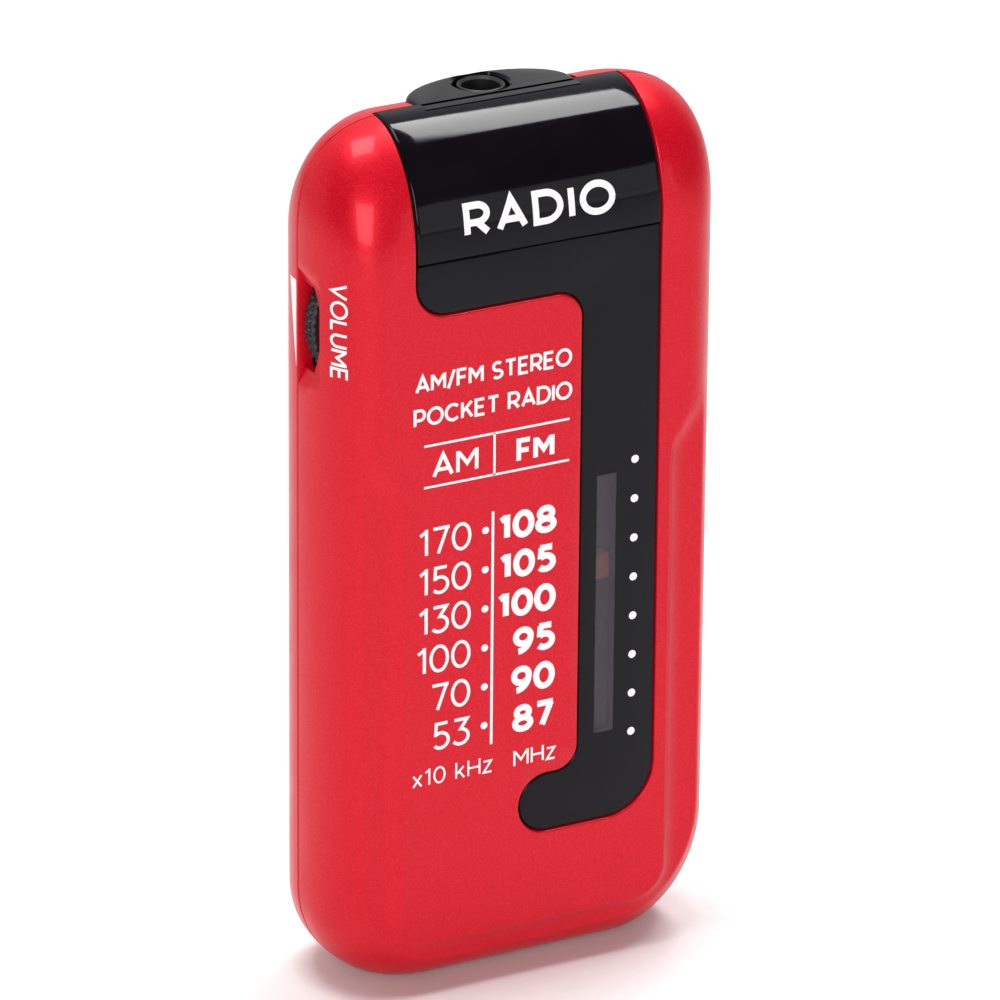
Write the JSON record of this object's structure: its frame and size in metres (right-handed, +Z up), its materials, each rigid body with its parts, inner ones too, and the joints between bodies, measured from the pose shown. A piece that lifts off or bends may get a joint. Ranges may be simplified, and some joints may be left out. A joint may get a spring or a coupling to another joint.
{
  "type": "pocket radio",
  "caption": "Slim upright pocket radio with an earphone socket on top, side thumb wheels for volume and tuning, and a pointer that slides behind a dial window.",
  "frame": {"origin": "middle of the underside, at the case's bounding box", "axes": "+Z up along the case's height, +X to the right seen from the front, front face towards -Y"},
  "size_m": [0.0414, 0.017, 0.0857],
  "materials": {
    "red_shell": "satin metallic red lacquer with fine flake on moulded plastic",
    "black_gloss": "polished black acrylic",
    "black_satin": "satin black moulded plastic",
    "circuit_board": "green solder mask",
    "pointer_orange": "orange-red moulded plastic",
    "gear_white": "natural acetal",
    "capacitor_case": "clear-white moulded case",
    "filter_brown": "dipped coating",
    "capacitor_sleeve": "shrunk sleeve",
    "ferrite": "sintered, dull",
    "copper_wire": "enamelled wire, close wound",
    "cell_case": "printed sleeve on a metal can",
    "plated_steel": "nickel plated"
  },
  "bodies": {
    "case": {"front_shell": "red_shell", "back_shell": "red_shell", "top_cap": "black_gloss", "dial_lens": "black_gloss", "case_screw_1": "plated_steel", "case_screw_2": "plated_steel", "case_screw_3": "plated_steel", "case_screw_4": "plated_steel", "volume_control": "plated_steel", "tuning_capacitor": "capacitor_case", "pointer_guide": "black_satin", "band_switch_body": "plated_steel", "headphone_jack": "black_satin", "jack_collar": "black_gloss", "main_board": "circuit_board", "radio_chip": "black_satin", "amplifier_chip": "black_satin", "oscillator_coil": "plated_steel", "filter_coil": "plated_steel", "ceramic_filter": "filter_brown", "filter_capacitor_1": "capacitor_sleeve", "filter_capacitor_2": "capacitor_sleeve", "ferrite_rod": "ferrite", "aerial_coil": "copper_wire", "battery_link_plate": "plated_steel", "battery_positive_plate": "plated_steel", "battery_negative_plate": "plated_steel", "battery_spring_lower": "plated_steel", "battery_spring_upper": "plated_steel", "battery_cell_left": "cell_case", "battery_cell_right": "cell_case"},
    "volume_knob": {"volume_wheel": "black_satin", "volume_screw": "plated_steel"},
    "tuning_knob": {"tuning_wheel": "black_satin", "tuning_pinion": "gear_white", "tuning_screw": "plated_steel"},
    "pointer": {"dial_pointer": "pointer_orange"},
    "band_slider": {"band_switch_knob": "black_satin"},
    "battery_door": {"battery_cover": "red_shell"}
  },
  "joints": [
    {"name": "volume_turn", "type": "hinge", "parent": "case", "child": "volume_knob", "pos_m": [-0.0134, -0.0012, 0.0666], "axis": [0, 1, 0], "range_deg": [-135, 135]},
    {"name": "tuning_turn", "type": "hinge", "parent": "case", "child": "tuning_knob", "pos_m": [0.0123, -0.0012, 0.0564], "axis": [0, 1, 0], "range_deg": [-179, 91]},
    {"name": "pointer_slide", "type": "slide", "parent": "case", "child": "pointer", "axis": [0, 0, 1], "range_m": [-0.0147, 0.0075]},
    {"name": "band_select", "type": "slide", "parent": "case", "child": "band_slider", "axis": [0, 0, 1], "range_m": [0, 0.0022]},
    {"name": "battery_door_off", "type": "slide", "parent": "case", "child": "battery_door", "axis": [0, 1, 0], "range_m": [0, 0.02]}
  ],
  "couplings": [
    {"joint": "pointer_slide", "follows": "tuning_turn", "m_per_rad": 0.0047}
  ]
}
